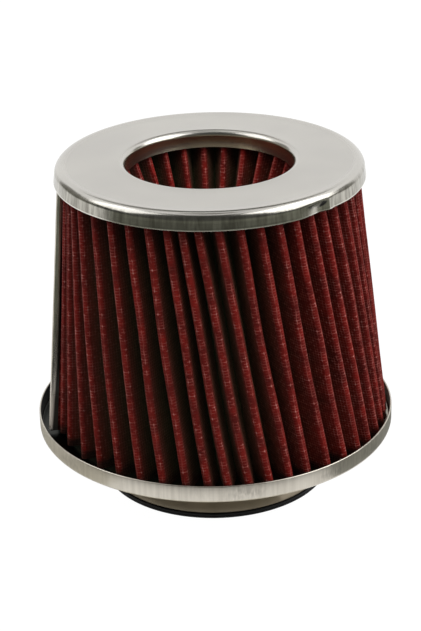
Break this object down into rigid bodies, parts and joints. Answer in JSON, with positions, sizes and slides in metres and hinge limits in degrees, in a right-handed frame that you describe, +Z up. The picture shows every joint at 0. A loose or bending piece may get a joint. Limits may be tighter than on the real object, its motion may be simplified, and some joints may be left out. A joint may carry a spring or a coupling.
{
  "type": "air filter",
  "caption": "Open-cone car intake air filter: red pleated cone between a steel cap with an inverted pleated cone in its hole and a rimmed steel pan, on a rubber-lined round neck.",
  "frame": {"origin": "middle of the neck's lower lip face, on which the filter stands", "axes": "+Z up the neck's axis towards the cap; the pleats' seam and its clip are on the -X side"},
  "size_m": [0.15, 0.15, 0.139],
  "materials": {
    "cap_steel": "satin, with a bright rolled edge",
    "pan_steel": "satin",
    "neck_steel": "satin",
    "clip_steel": "bright, drawn",
    "pleated_gauze": "oiled red cotton gauze under a fine wire screen",
    "potting": "cast, dull",
    "neck_rubber": "moulded, dull"
  },
  "bodies": {
    "root": {"top_cap": "cap_steel", "top_bond": "potting", "outer_media": "pleated_gauze", "seam_clip": "clip_steel", "inner_media": "pleated_gauze", "inner_cone_cap": "clip_steel", "inner_bond": "potting", "base_bond": "potting", "base_pan": "pan_steel", "neck_tube": "neck_steel", "outer_reducer": "neck_rubber", "inner_reducer": "neck_rubber"}
  },
  "joints": []
}
